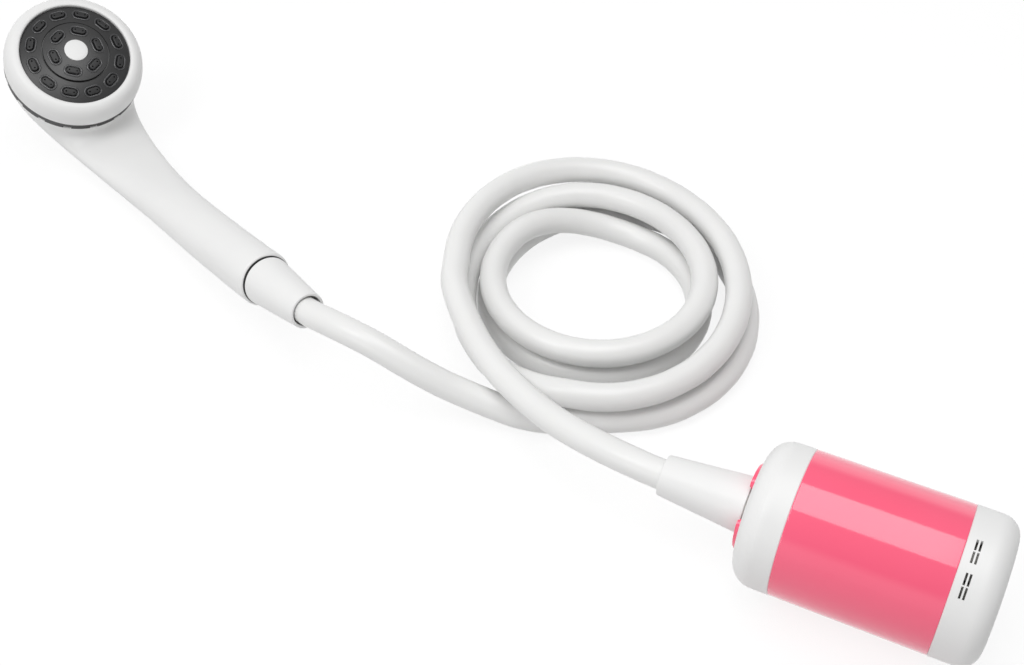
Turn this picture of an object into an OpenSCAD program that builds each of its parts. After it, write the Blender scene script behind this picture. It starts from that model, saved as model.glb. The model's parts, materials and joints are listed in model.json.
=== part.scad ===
// Camp shower pump: a rechargeable pump that stands in a bucket, a hose laid down in a coil
// and a hand shower. It lies on a floor, with +Z up and the floor at z = 0.
// The origin is under the middle of the box round the pump and the hand shower.

/* [Pump body] */
// Outside diameter of the pump body
pump_d = 60; // [58:0.5:66]
// Length of the white intake cap at the base
base_cap_l = 18; // [17.5:0.25:22]
// Length of the coloured sleeve between the caps
sleeve_l = 62; // [61:0.5:75]
// Length of the white top cap
top_cap_l = 17; // [16.5:0.25:20]
// Wall of the sleeve and of both caps
shell_wall = 2.4; // [2.2:0.1:2.8]
// Rounding of the top cap's outer edge
top_round = 9.5; // [7:0.5:10.5]
// Rounding of the intake cap's outer edge
base_round = 8; // [5:0.5:9]
// Length of the tongue by which the sleeve enters each cap
tongue_l = 1.6; // [1.2:0.1:1.6]
// Thickness of the two gaskets between the sleeve and the caps
gasket_t = 0.8; // [0.6:0.1:0.8]

/* [Intake] */
// Length of one intake slot round the cap
slot_l = 4.6; // [3:0.1:5]
// Width of one intake slot
slot_w = 0.85; // [0.6:0.05:1]
// Distance of the nearer row of slots from the coloured sleeve
slot_seam = 3.6; // [3:0.1:5]
// Spacing of the two rows of slots along the pump
slot_pitch = 1.5; // [1.3:0.1:2]
// Angle between the two groups of slots on one side
slot_group_angle = 26; // [22:1:32]

/* [Pump works] */
// Diameter of the motor can
motor_d = 20.4; // [18:0.1:21]
// Length of the motor can
motor_l = 32; // [24:1:40]
// Diameter of the motor shaft
shaft_d = 2; // [1.5:0.1:2.6]
// Diameter of the rechargeable cell
cell_d = 18.4; // [14:0.1:18.6]
// Length of the rechargeable cell
cell_l = 65; // [48:1:65]
// Diameter of the impeller
impeller_d = 21; // [18:0.5:22]
// Number of impeller blades
impeller_blades = 6; // [4:1:8]
// Outside diameter of the riser tube
riser_d = 8; // [7:0.2:8.6]
// Bore of the riser tube
riser_bore = 5.8; // [4:0.2:6]

/* [Controls] */
// Inner radius of the button and of the charging plug round the outlet
control_r_in = 12.8; // [12.6:0.1:13.2]
// Outer radius of the button and of the charging plug
control_r_out = 17.8; // [17:0.1:17.8]
// Angle that each of them spans, without its round ends
control_span = 112; // [90:1:116]
// Height that they stand above the top face
control_h = 1.9; // [1.6:0.1:3]
// Travel of the power button
button_travel = 0.8; // [0.4:0.1:0.8]

/* [Hose and nuts] */
// Outside diameter of the hose
hose_d = 12.6; // [12:0.1:12.7]
// Bore of the hose
hose_bore = 8.6; // [8:0.1:9]
// Length of a conical hose nut
nut_l = 35.9; // [32:0.1:38]
// Diameter of a nut at its wide end
nut_d = 23.8; // [23:0.1:24.4]
// Diameter of a nut at its hose end
nut_tip_d = 17; // [16.8:0.1:18]
// Diameter of the threaded spigots that the nuts turn on
spigot_d = 19.8; // [18.6:0.1:20]
// Length of a spigot beyond its seat
spigot_l = 10; // [8:0.2:11]

/* [Hand shower] */
// Diameter of the handle at the hose end
handle_d = 26.4; // [25:0.2:30]
// Wall of the handle and bowl
handle_wall = 2.6; // [2:0.1:3]
// Level distance from the handle's end to the middle of the bowl's rim
handle_reach = 184.6; // [175:0.2:195]
// Height of the middle of the bowl's rim above the middle of the handle's end
rim_rise = 18.8; // [16:0.2:22]
// Angle of the spray face from level
face_tilt = 34; // [28:1:38]
// Angle at which the handle's end rises towards the hose
inlet_rise = 11; // [6:1:14]
// Diameter of the bowl's rim
bowl_d = 68.8; // [67:0.2:69.4]
// Diameter of the white bezel round the spray face
bezel_d = 69.6; // [68:0.2:72]
// Height of the bezel
bezel_h = 12.5; // [11:0.1:14]
// Height of the black seal under the bezel
rim_seal_h = 5; // [3:0.1:6]
// Diameter of the black spray face
face_d = 54.4; // [53:0.2:55]
// Height of the spray face's dome
face_dome = 4.4; // [3:0.1:5]
// Diameter of the white cap in the middle of the face
face_cap_d = 11.6; // [10:0.2:13]
// Nozzle pads in the outer ring
pads_outer = 12; // [8:1:13]
// Nozzle pads in the inner ring
pads_inner = 6; // [4:1:7]
// Length of a nozzle pad
pad_l = 6.6; // [5:0.1:7]
// Width of a nozzle pad
pad_w = 3.2; // [2.4:0.1:3.4]

/* [Hidden] */
$fn = 96;

// Where the pieces lie: middle of the pump's base, its heading, and the middle of the handle's end
pump_x = 218.7;
pump_y = -166.5;
pump_yaw = 154.2;
pump_roll = 53;
head_x = -77.4;
head_y = 12;
head_yaw = 129.24;

// Named clearances
fit = 0.15;
snug = fit / 3;
run_clear = 0.3;
shaft_clear = 0.04;
pocket_clear = 0.15;
overcut = 1;

// Pump levels along its axis, from the base
pump_r = pump_d / 2;
inner_r = pump_r - shell_wall;
tongue_r = pump_r - shell_wall / 2;
seam_low = base_cap_l;
seam_high = base_cap_l + sleeve_l;
top_z = seam_high + top_cap_l;
ceiling_z = top_z - shell_wall;
seam_chamfer = 0.3;

// Chassis that parts the wet end from the dry one
chassis_t = 3.5;
chassis_z = seam_low - 1;
chassis_top = chassis_z + chassis_t;
chassis_r = inner_r - run_clear;
motor_at = [-8, -3];
cell_at = [motor_at[0] + motor_d / 2 + cell_d / 2 + 3.1, -3];
riser_at = [0, 15.5];
cradle_wall = 1.4;
cradle_h = 5.5;
seal_cord = 1.8;
seal_squash = 0.1;
slot_sides = [-80, 100];
boss_d = 6;
boss_l = 1.7;
lip_seal_w = 0.4;
shaft_top = chassis_top + motor_l + 1.5;

// Wet end
volute_wall = 1.4;
volute_r = impeller_d / 2 + 1 + volute_wall;
volute_floor = 1.5;
volute_z = chassis_z - 9.5;
eye_r = 4.5;
impeller_z = volute_z + volute_floor + 1;
impeller_h = 5.5;
shroud_t = 1.5;
hub_r = 3;
blade_t = 1;
shaft_low = impeller_z - 0.7;
filter_r = volute_r + norm(motor_at) + 1.6;
filter_wall = 1.2;
floor_round = base_round - shell_wall;
filter_out = max(0, filter_r + filter_wall - inner_r + floor_round);
filter_low = base_round - sqrt(floor_round * floor_round - filter_out * filter_out) + 0.02;
filter_slits = 12;
filter_rim = 2;
slit_w = 1;

// Board and controls under the top cap
board_t = 1.6;
board_top = ceiling_z - 5.6;
board_r = 24;
control_r = (control_r_in + control_r_out) / 2;
control_w = control_r_out - control_r_in;
flange_lip = 0.5;
control_gap = 0.05;
flange_t = 1.3;
button_flange_top = ceiling_z - run_clear;
switch_size = [6, 6, 2.4];
post_r = 2;
post_at = 20.5;
post_angles = [50, 130, 235, 290];
screw_r = 0.8;
screw_head_r = 1.7;
screw_head_h = 1.3;
screw_bite = 2.6;
screw_hole_l = 3;
socket_size = [3.2, 8.9];
socket_wall = 0.3;
socket_top = top_z - 0.8;
tongue_t = 0.7;
plug_stem_l = 4.6;

// Outlet
collar_h = 0.6;
collar_r = nut_d / 2 - 0.7;
seat_z = top_z + collar_h;
spigot_r = spigot_d / 2;
outlet_bore_r = 5;
manifold_w = riser_d + 2;
riser_socket = 3;
manifold_z = board_top - board_t - 3.4;
outlet_flange_r = spigot_r + 1.6;
outlet_flange_t = 2.2;

// Hose ends, along each nut's own axis from its seat
hose_r = hose_d / 2;
nut_gap = 1;
washer_t = 1.2;
barb_flange_t = 2;
barb_stem_r = hose_bore / 2 - 0.2;
barb_l = 17;
barb_bore_r = 2.6;
barb_ridge = 0.15;
flange_z = spigot_l + washer_t;
tail_z = flange_z + barb_flange_t;
tail_end = nut_gap + nut_l + 2;
shoulder_z = tail_z + run_clear;
shoulder_t = 2.6;
nut_thread_r = spigot_r + run_clear;
nut_hose_r = hose_r + 1;
nut_neck_r = hose_r + 0.5;

// Handle loft: where its underside and its neck start to bend, how far behind the face they are
// drawn, and how its width swells into the bowl
handle_r = handle_d / 2;
bowl_r = bowl_d / 2;
loft_rings = 22;
loft_sides = 36;
belly_depth = 95;
belly_from = 0.51;
neck_depth = 18;
neck_from = 0.62;
swell_from = 0.28;
swell_power = 1.3;
wall_pull = 2.5;

// Spray face, along its own axis from the bowl's rim
bezel_r = bezel_d / 2;
bezel_z = rim_seal_h;
face_z = bezel_z + bezel_h;
face_r = face_d / 2;
lip_r = face_r + run_clear;
ledge_z = face_z - 4;
ledge_t = 2;
ledge_w = 2.8;
skirt_r = bowl_r - handle_wall - 1.8;
skirt_l = 1.5;
face_edge_h = 3.3;
face_t = 2.6;
dome_r = (pow(face_r, 2) + pow(face_dome, 2)) / (2 * face_dome);
step_r = 0.6 * face_r;
step_h = 0.7;
pad_ring_outer = 0.815 * face_r;
pad_ring_inner = 0.42 * face_r;
pad_rim = 1.25;
pad_rim_h = 0.35;
pad_depth = 1.3;
pad_proud = 0.25;
nozzle_r = 0.4;
nozzle_gap = 3.8;
nozzle_l = 12;
cap_recess = 0.9;
cap_t = 1.7;
seal_notches = 16;

// Frames: the pump's axis, the handle's end and the bowl's rim

module in_pump() {
    translate([pump_x, pump_y, pump_r])
        rotate([0, 90, pump_yaw]) rotate([0, 0, 180 + pump_roll]) children();
}

module on_outlet() {
    in_pump() translate([0, 0, seat_z]) children();
}

module in_head() {
    translate([head_x, head_y, head_lift]) rotate([0, 0, head_yaw]) children();
}

module on_inlet() {
    in_head() rotate([0, inlet_rise - 90, 0]) children();
}

module on_rim() {
    in_head() translate([handle_reach, 0, rim_rise]) rotate([0, -face_tilt, 0]) children();
}

// Helpers

module ring(r_out, r_in, h) {
    difference() {
        cylinder(r = r_out, h = h);
        translate([0, 0, -overcut]) cylinder(r = r_in, h = h + 2 * overcut);
    }
}

function arc(cx, cy, rx, ry, from, to, steps) =
    [for (i = [0:steps]) let (a = from + (to - from) * i / steps) [cx + rx * cos(a), cy + ry * sin(a)]];

function smooth(x) = let (c = min(1, max(0, x))) c * c * (3 - 2 * c);

function unit(v) = v / norm(v);

function bezier(p, t) =
    pow(1 - t, 3) * p[0] + 3 * t * pow(1 - t, 2) * p[1] + 3 * t * t * (1 - t) * p[2] + pow(t, 3) * p[3];

// A closed skin over rings of points that all have as many points
module skin(rings) {
    sides = len(rings[0]);
    last = len(rings) - 1;
    walls = [for (i = [0:last - 1]) for (j = [0:sides - 1])
        let (a = i * sides + j, b = i * sides + (j + 1) % sides)
        for (f = [[a, b, a + sides], [b, b + sides, a + sides]]) f];
    low = [for (j = [1:sides - 2]) [0, j + 1, j]];
    high = [for (j = [1:sides - 2]) [last * sides, last * sides + j, last * sides + j + 1]];
    polyhedron([for (r = rings) for (p = r) p], concat(walls, low, high));
}

// Rings of a tube round a path; the first and last rings stand square to the given directions
function tube_rings(path, r, sides, first, last) =
    [for (i = [0:len(path) - 1])
        let (along = i == 0 ? unit(first) : i == len(path) - 1 ? unit(last)
                : unit(path[i + 1] - path[i - 1]),
            side = unit(cross(along, [0, 0, 1])),
            up = cross(side, along))
        [for (j = [0:sides - 1]) path[i] + r * (cos(360 * j / sides) * side + sin(360 * j / sides) * up)]];

// A slot outline with round ends, its length along Y
module pill(l, w, h) {
    for (s = [-1, 1]) translate([0, s * (l - w) / 2, 0]) cylinder(d = w, h = h, $fn = 32);
    translate([-w / 2, -(l - w) / 2, 0]) cube([w, l - w, h]);
}

// A curved bar with round ends, centred on the X axis
module curved_bar(r, w, span, h) {
    rotate([0, 0, -span / 2]) rotate_extrude(angle = span)
        translate([r - w / 2, 0]) square([w, h]);
    for (s = [-1, 1]) rotate([0, 0, s * span / 2]) translate([r, 0, 0]) cylinder(d = w, h = h, $fn = 32);
}

// Pump shells

module intake_cap() {
    outer = concat([[0, 0]], arc(pump_r - base_round, base_round, base_round, base_round, -90, 0, 12),
        [[pump_r, seam_low - seam_chamfer], [pump_r - seam_chamfer, seam_low], [0, seam_low]]);
    cavity = concat([[0, shell_wall]],
        arc(inner_r - floor_round, base_round, floor_round, floor_round, -90, 0, 12),
        [[inner_r, seam_low + overcut], [0, seam_low + overcut]]);
    rebate_z = seam_low - tongue_l - gasket_t;
    color("whitesmoke") in_pump() difference() {
        rotate_extrude() polygon(outer);
        rotate_extrude() polygon(cavity);
        translate([0, 0, rebate_z]) cylinder(r = tongue_r, h = tongue_l + gasket_t + overcut);
        for (side = slot_sides, group = [-1, 1], row = [0, 1], half = [-1, 1])
            rotate([0, 0, side + group * slot_group_angle / 2 + half * slot_half_angle()])
                translate([pump_r - 2 * shell_wall, -slot_l / 2,
                    seam_low - slot_seam - row * slot_pitch - slot_w / 2])
                    cube([3 * shell_wall, slot_l, slot_w]);
    }
}

function slot_half_angle() = (slot_l / 2 + 0.3) / pump_r * 180 / PI;

module base_gasket() {
    color("dimgray") in_pump() translate([0, 0, seam_low - tongue_l - gasket_t])
        ring(tongue_r - fit, inner_r, gasket_t);
}

module pump_sleeve() {
    tongue_out = tongue_r - fit;
    wall = [[inner_r, seam_low - tongue_l], [tongue_out, seam_low - tongue_l], [tongue_out, seam_low],
        [pump_r - seam_chamfer, seam_low], [pump_r, seam_low + seam_chamfer],
        [pump_r, seam_high - seam_chamfer], [pump_r - seam_chamfer, seam_high], [tongue_out, seam_high],
        [tongue_out, seam_high + tongue_l], [inner_r, seam_high + tongue_l]];
    color("hotpink") in_pump() rotate_extrude() polygon(wall);
}

module top_gasket() {
    color("dimgray") in_pump() translate([0, 0, seam_high + tongue_l])
        ring(tongue_r - fit, inner_r, gasket_t);
}

module top_cap() {
    outer = concat([[0, seam_high], [pump_r - seam_chamfer, seam_high], [pump_r, seam_high + seam_chamfer]],
        arc(pump_r - top_round, top_z - top_round, top_round, top_round, 0, 90, 12), [[0, top_z]]);
    inner_round = top_round - shell_wall;
    cavity = concat([[0, seam_high - overcut], [inner_r, seam_high - overcut]],
        arc(inner_r - inner_round, top_z - top_round, inner_round, inner_round, 0, 90, 12), [[0,
            ceiling_z]]);
    color("whitesmoke") in_pump() difference() {
        union() {
            difference() {
                rotate_extrude() polygon(outer);
                rotate_extrude() polygon(cavity);
                translate([0, 0, seam_high - overcut])
                    cylinder(r = tongue_r, h = tongue_l + gasket_t + overcut);
            }
            translate([0, 0, ceiling_z]) cylinder(r = collar_r, h = seat_z - ceiling_z);
            for (a = post_angles) rotate([0, 0, a]) translate([post_at, 0, board_top])
                cylinder(r = post_r, h = ceiling_z - board_top + shell_wall / 2, $fn = 32);
        }
        translate([0, 0, ceiling_z - overcut])
            cylinder(r = spigot_r + fit, h = seat_z - ceiling_z + 2 * overcut);
        translate([0, 0, ceiling_z - overcut])
            curved_bar(control_r, control_w + 2 * run_clear, control_span, shell_wall + 2 * overcut);
        translate([-control_r, 0, ceiling_z - overcut])
            pill(socket_size[1] + 2 * run_clear, socket_size[0] + 2 * run_clear, shell_wall + 2 * overcut);
        for (a = post_angles) rotate([0, 0, a]) translate([post_at, 0, board_top - overcut])
            cylinder(r = screw_r + snug, h = screw_hole_l + overcut, $fn = 32);
    }
}

// Wet end

module filter_screen() {
    color("lightgray") in_pump() difference() {
        translate([0, 0, filter_low]) ring(filter_r + filter_wall, filter_r, chassis_z - filter_low);
        for (i = [0:filter_slits - 1]) rotate([0, 0, 180 * i / filter_slits])
            translate([-pump_r, -slit_w / 2, filter_low + filter_rim])
                cube([pump_d, slit_w, chassis_z - filter_low - 2 * filter_rim]);
    }
}

// Outline round two circles, the second one on the X axis
function teardrop(r1, r2, gap, steps) = let (lean = acos((r1 - r2) / gap)) concat(
    [for (i = [0:steps]) let (a = lean + (360 - 2 * lean) * i / steps) [r1 * cos(a), r1 * sin(a)]],
    [for (i = [0:steps]) let (a = -lean + 2 * lean * i / steps) [gap + r2 * cos(a), r2 * sin(a)]]);

module volute() {
    duct = riser_at - motor_at;
    h = chassis_z - volute_z;
    color("gainsboro") in_pump() translate([motor_at[0], motor_at[1], volute_z])
        rotate([0, 0, atan2(duct[1], duct[0])]) difference() {
            linear_extrude(h) polygon(teardrop(volute_r, riser_bore / 2 + volute_wall, norm(duct), 24));
            translate([0, 0, volute_floor]) linear_extrude(h)
                polygon(teardrop(volute_r - volute_wall, riser_bore / 2, norm(duct), 24));
            translate([0, 0, -overcut]) cylinder(r = eye_r, h = volute_floor + 2 * overcut);
        }
}

module impeller() {
    blade_arc = impeller_d / 2.6;
    color("white") in_pump() translate([motor_at[0], motor_at[1], impeller_z]) difference() {
        union() {
            cylinder(r = hub_r, h = impeller_h);
            translate([0, 0, impeller_h - shroud_t]) cylinder(d = impeller_d, h = shroud_t);
            for (i = [0:impeller_blades - 1]) rotate([0, 0, 360 * i / impeller_blades]) intersection() {
                translate([0, -blade_arc, 0])
                    ring(blade_arc + blade_t / 2, blade_arc - blade_t / 2, impeller_h - 0.2);
                cylinder(d = impeller_d - 0.4, h = impeller_h);
                translate([hub_r / 2, -impeller_d, 0]) cube([impeller_d, 2 * impeller_d, impeller_h]);
            }
        }
        translate([0, 0, -overcut]) cylinder(d = shaft_d, h = impeller_h + 2 * overcut);
    }
}

module motor_shaft() {
    color("silver") in_pump() translate([motor_at[0], motor_at[1], shaft_low])
        cylinder(d = shaft_d, h = shaft_top - shaft_low);
}

module shaft_seal() {
    color("dimgray") in_pump() translate([motor_at[0], motor_at[1], chassis_z])
        ring(boss_d / 2 + lip_seal_w, shaft_d / 2 + shaft_clear, chassis_t - boss_l - seal_squash);
}

module chassis() {
    color("dimgray") in_pump() difference() {
        union() {
            translate([0, 0, chassis_z]) cylinder(r = chassis_r, h = chassis_t);
            translate([cell_at[0], cell_at[1], chassis_top])
                cylinder(r = cell_d / 2 + run_clear + cradle_wall, h = cradle_h);
            translate([motor_at[0], motor_at[1], chassis_top])
                cylinder(r = motor_d / 2 + run_clear + cradle_wall, h = cradle_h);
        }
        translate([cell_at[0], cell_at[1], chassis_top])
            cylinder(r = cell_d / 2 + run_clear, h = cradle_h + overcut);
        translate([motor_at[0], motor_at[1], chassis_top])
            cylinder(r = motor_d / 2 + fit, h = cradle_h + overcut);
        translate([motor_at[0], motor_at[1], chassis_z - overcut])
            cylinder(r = boss_d / 2 + fit, h = chassis_t + 2 * overcut);
        translate([motor_at[0], motor_at[1], chassis_z - overcut])
            cylinder(r = boss_d / 2 + lip_seal_w + snug, h = chassis_t - boss_l + overcut);
        translate([riser_at[0], riser_at[1], chassis_z - overcut])
            cylinder(r = riser_d / 2 + snug, h = chassis_t + 2 * overcut);
        translate([0, 0, chassis_z + (chassis_t - seal_cord) / 2]) difference() {
            cylinder(r = chassis_r + overcut, h = seal_cord);
            cylinder(r = chassis_r - seal_cord + run_clear, h = seal_cord);
        }
    }
}

module chassis_seal() {
    color("dimgray") in_pump() translate([0, 0, chassis_z + chassis_t / 2])
        rotate_extrude() translate([inner_r - seal_cord / 2 - seal_squash / 2, 0])
            circle(d = seal_cord - seal_squash, $fn = 32);
}

// Dry end

module motor() {
    tail_r = motor_d / 2 - 2;
    color("silver") in_pump() translate([motor_at[0], motor_at[1], chassis_top]) difference() {
        union() {
            translate([0, 0, -boss_l]) cylinder(d = boss_d, h = boss_l + 0.5);
            cylinder(d = motor_d, h = motor_l - 2);
            cylinder(r = tail_r, h = motor_l);
            for (s = [-1, 1]) translate([s * (tail_r - 2) - 0.3, -1, motor_l - 0.5]) cube([0.6, 2, 3]);
        }
        translate([0, 0, -boss_l - overcut])
            cylinder(r = shaft_d / 2 + shaft_clear, h = motor_l + boss_l + 2 * overcut);
    }
}

module battery_cell() {
    nub_h = 0.8;
    color("seagreen") in_pump() translate([cell_at[0], cell_at[1], chassis_top]) {
        cylinder(d = cell_d, h = cell_l - nub_h);
        translate([0, 0, cell_l - nub_h - 0.2]) cylinder(d = cell_d / 3, h = nub_h + 0.2);
    }
}

module riser_tube() {
    color("white") in_pump() translate([riser_at[0], riser_at[1], chassis_z])
        ring(riser_d / 2, riser_bore / 2, manifold_z + riser_socket - chassis_z);
}

module circuit_board() {
    slot = manifold_w + 1.2;
    color("darkgreen") in_pump() translate([0, 0, board_top - board_t]) difference() {
        cylinder(r = board_r, h = board_t);
        translate([-slot / 2, -slot / 2, -overcut]) cube([slot, board_r + slot, board_t + 2 * overcut]);
        for (a = post_angles) rotate([0, 0, a]) translate([post_at, 0, -overcut])
            cylinder(r = screw_r + snug, h = board_t + 2 * overcut, $fn = 32);
    }
}

module power_switch() {
    body = switch_size;
    plunger_h = button_flange_top - flange_t - button_travel - 0.2 - board_top - body[2];
    color("black") in_pump() translate([control_r, 0, board_top]) {
        translate([-body[0] / 2, -body[1] / 2, 0]) cube(body);
        translate([0, 0, body[2] - 0.2]) cylinder(r = 1.6, h = plunger_h + 0.2, $fn = 32);
    }
}

module charge_port() {
    h = socket_top - board_top;
    color("silver") in_pump() translate([-control_r, 0, board_top]) {
        difference() {
            pill(socket_size[1], socket_size[0], h);
            translate([0, 0, 1])
                pill(socket_size[1] - 2 * socket_wall, socket_size[0] - 2 * socket_wall, h);
        }
        translate([-tongue_t / 2, -3.3, 0.5]) cube([tongue_t, 6.6, h - 1.5]);
    }
}

module board_screws() {
    color("silver") in_pump() for (a = post_angles) rotate([0, 0, a])
        translate([post_at, 0, board_top - board_t - screw_head_h]) {
            cylinder(r = screw_head_r, h = screw_head_h, $fn = 32);
            cylinder(r = screw_r, h = screw_head_h + board_t + screw_bite, $fn = 32);
        }
}

module outlet_spigot() {
    flange_low = ceiling_z - outlet_flange_t;
    channel_low = manifold_z + riser_socket;
    channel_w = manifold_w - 3.6;
    color("white") in_pump() difference() {
        union() {
            translate([0, 0, flange_low]) cylinder(r = outlet_flange_r, h = outlet_flange_t);
            translate([0, 0, flange_low]) cylinder(r = spigot_r, h = seat_z + spigot_l - flange_low);
            translate([0, 0, manifold_z]) cylinder(d = manifold_w, h = flange_low - manifold_z + 0.5);
            translate([riser_at[0], riser_at[1], manifold_z])
                cylinder(d = manifold_w, h = flange_low - manifold_z);
            translate([-manifold_w / 2, 0, manifold_z])
                cube([manifold_w, riser_at[1], flange_low - manifold_z]);
        }
        translate([0, 0, channel_low]) cylinder(r = channel_w / 2, h = flange_low - channel_low);
        translate([0, 0, flange_low - overcut]) cylinder(r = channel_w / 2, h = overcut + shell_wall);
        translate([0, 0, flange_low + shell_wall - overcut])
            cylinder(r = outlet_bore_r, h = seat_z + spigot_l - flange_low);
        translate([-channel_w / 2, 0, channel_low])
            cube([channel_w, riser_at[1], flange_low - channel_low - 1]);
        translate([riser_at[0], riser_at[1], channel_low])
            cylinder(d = channel_w, h = flange_low - channel_low - 1);
        translate([riser_at[0], riser_at[1], manifold_z - overcut])
            cylinder(r = riser_d / 2 + snug, h = riser_socket + overcut);
    }
}

// The button and the plug share one pad on the top face
module control_pad() {
    edge = 0.6;
    translate([0, 0, top_z + control_gap]) {
        curved_bar(control_r, control_w, control_span, control_h - edge);
        curved_bar(control_r, control_w - 2 * edge, control_span, control_h);
    }
}

module power_button() {
    color("hotpink") in_pump() {
        control_pad();
        translate([0, 0, button_flange_top - 0.1])
            curved_bar(control_r, control_w, control_span, top_z - button_flange_top + 0.5);
        translate([0, 0, button_flange_top - flange_t])
            curved_bar(control_r, control_w + 2 * flange_lip, control_span, flange_t);
    }
}

module charge_plug() {
    inner = [socket_size[0] - 2 * socket_wall - 0.4, socket_size[1] - 2 * socket_wall - 0.4];
    color("hotpink") in_pump() rotate([0, 0, 180]) {
        control_pad();
        translate([control_r, 0, top_z - plug_stem_l]) difference() {
            pill(inner[1], inner[0], plug_stem_l + 0.5);
            translate([-(tongue_t + 0.4) / 2, -3.5, -overcut])
                cube([tongue_t + 0.4, 7, plug_stem_l + overcut - 0.8]);
        }
    }
}

// Hose ends: the same washer, barb and conical nut at the pump and at the hand shower

module hose_washer() {
    color("black") translate([0, 0, spigot_l]) ring(spigot_r - 0.4, outlet_bore_r, washer_t);
}

module hose_barb() {
    ridges = 4;
    pitch = (barb_l - 2) / ridges;
    stem = [for (i = [0:ridges - 1]) for (p = [[barb_stem_r, i * pitch], [barb_stem_r + barb_ridge,
        i * pitch + pitch * 0.3]])
        [p[0], tail_z + 1 + p[1]]];
    profile = concat([[barb_bore_r, flange_z], [spigot_r - 0.4, flange_z], [spigot_r - 0.4, tail_z],
        [barb_stem_r, tail_z]],
        stem, [[barb_stem_r, tail_z + barb_l], [barb_bore_r, tail_z + barb_l]]);
    color("gainsboro") rotate_extrude() polygon(profile);
}

module hose_nut() {
    lip = 0.9;
    tip_z = nut_gap + nut_l;
    wide_r = nut_d / 2;
    tip_r = nut_tip_d / 2;
    profile = concat([[nut_thread_r, nut_gap], [wide_r - 0.5, nut_gap], [wide_r, nut_gap + 0.5]],
        arc(tip_r - lip, tip_z - lip, lip, lip, 0, 90, 6),
        [[nut_hose_r, tip_z], [nut_hose_r, shoulder_z + shoulder_t], [nut_neck_r, shoulder_z + shoulder_t],
        [nut_neck_r, shoulder_z], [nut_thread_r, shoulder_z]]);
    color("white") rotate_extrude() polygon(profile);
}

module hose_tail() {
    color("white") translate([0, 0, tail_z]) ring(hose_r, hose_bore / 2, tail_end - tail_z);
}

module pump_washer() { on_outlet() hose_washer(); }

module pump_barb() { on_outlet() hose_barb(); }

module pump_nut() { on_outlet() hose_nut(); }

module hose_pump_tail() { on_outlet() hose_tail(); }

module head_washer() { on_inlet() hose_washer(); }

module head_barb() { on_inlet() hose_barb(); }

module head_nut() { on_inlet() hose_nut(); }

module hose_head_tail() { on_inlet() hose_tail(); }

// Hand shower

// Outline of the handle in its own upright plane, shrunk by a wall: the underside and the top
function rim_dir(a) = [cos(a), sin(a)];
function behind_face(d) = rim_dir(face_tilt - 90) * d;
function underside(t, wall) = let (
    inlet = rim_dir(-90 - inlet_rise) * (handle_r - wall),
    far = [handle_reach, rim_rise] + rim_dir(face_tilt) * (bowl_r - wall),
    along = rim_dir(-inlet_rise))
    bezier([inlet, inlet + along * handle_reach * belly_from,
        far + behind_face(belly_depth - wall_pull * wall), far], t);
function topside(t, wall) = let (
    inlet = rim_dir(90 - inlet_rise) * (handle_r - wall),
    near = [handle_reach, rim_rise] - rim_dir(face_tilt) * (bowl_r - wall),
    along = rim_dir(-inlet_rise))
    bezier([inlet, inlet + along * handle_reach * neck_from,
        near + behind_face(neck_depth + wall_pull * wall), near], t);
function half_width(t, wall) = handle_r - wall
    + (bowl_r - handle_r) * pow(max(0, t - swell_from) / (1 - swell_from), swell_power);

function handle_ring(t, wall) = let (
    low = underside(t, wall), high = topside(t, wall),
    mid = (low + high) / 2, up = (high - low) / 2, w = half_width(t, wall))
    [for (j = [0:loft_sides - 1]) let (a = 360 * j / loft_sides)
        [mid[0] + up[0] * cos(a), w * sin(a), mid[1] + up[1] * cos(a)]];

function shifted(points, d) = [for (p = points) p + d];

// The handle rests on the floor where its underside is lowest
head_lift = -min([for (i = [0:loft_rings]) underside(i / loft_rings, 0)[1]]);

module handle() {
    axis_in = [-cos(inlet_rise), 0, sin(inlet_rise)];
    axis_out = [-sin(face_tilt), 0, cos(face_tilt)];
    outer = [for (i = [0:loft_rings]) handle_ring(i / loft_rings, 0)];
    core = [for (i = [2:loft_rings]) handle_ring(i / loft_rings, handle_wall)];
    color("white") difference() {
        union() {
            in_head() difference() {
                skin(outer);
                skin(concat(core, [shifted(handle_ring(1, handle_wall), 3 * axis_out)]));
            }
            on_inlet() translate([0, 0, -2]) cylinder(r = spigot_r, h = spigot_l + 2);
        }
        on_inlet() translate([0, 0, -25]) cylinder(r = outlet_bore_r, h = 25 + spigot_l + overcut);
    }
}

module handle_seal() {
    color("black") on_inlet() ring(nut_d / 2 + 0.2, spigot_r + snug, nut_gap - run_clear);
}

module rim_seal() {
    color("black") on_rim() difference() {
        ring(bowl_r - snug, skirt_r + fit, rim_seal_h);
        for (i = [0:seal_notches - 1]) rotate([0, 0, 360 * (i + 0.5) / seal_notches])
            translate([bowl_r - 0.9, -2, -overcut]) cube([2, 4, overcut + rim_seal_h / 3]);
    }
}

module face_bezel() {
    shoulder_z1 = bezel_z + 4.6;
    crown = 1.2;
    profile = concat([[skirt_r - 2, -skirt_l], [skirt_r, -skirt_l], [skirt_r, bezel_z], [bezel_r - 0.9,
        bezel_z],
        [bezel_r, bezel_z + 0.9]],
        arc(lip_r + crown, shoulder_z1, bezel_r - lip_r - crown, face_z - shoulder_z1, 0, 90, 10),
        [[lip_r, face_z - 0.5], [lip_r, ledge_z], [lip_r - ledge_w, ledge_z], [lip_r - ledge_w,
            ledge_z - ledge_t],
        [skirt_r - 2, ledge_z - ledge_t]]);
    color("white") on_rim() rotate_extrude() polygon(profile);
}

// Height of the spray face at a radius, a dome whose middle stands a step above its rim, and its slope
function dome_z(r) = ledge_z + face_edge_h + sqrt(dome_r * dome_r - r * r) - (dome_r - face_dome);
function face_top(r) = dome_z(r) - (r > step_r ? step_h : 0);
function dome_slope(r) = asin(r / dome_r);

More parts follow.
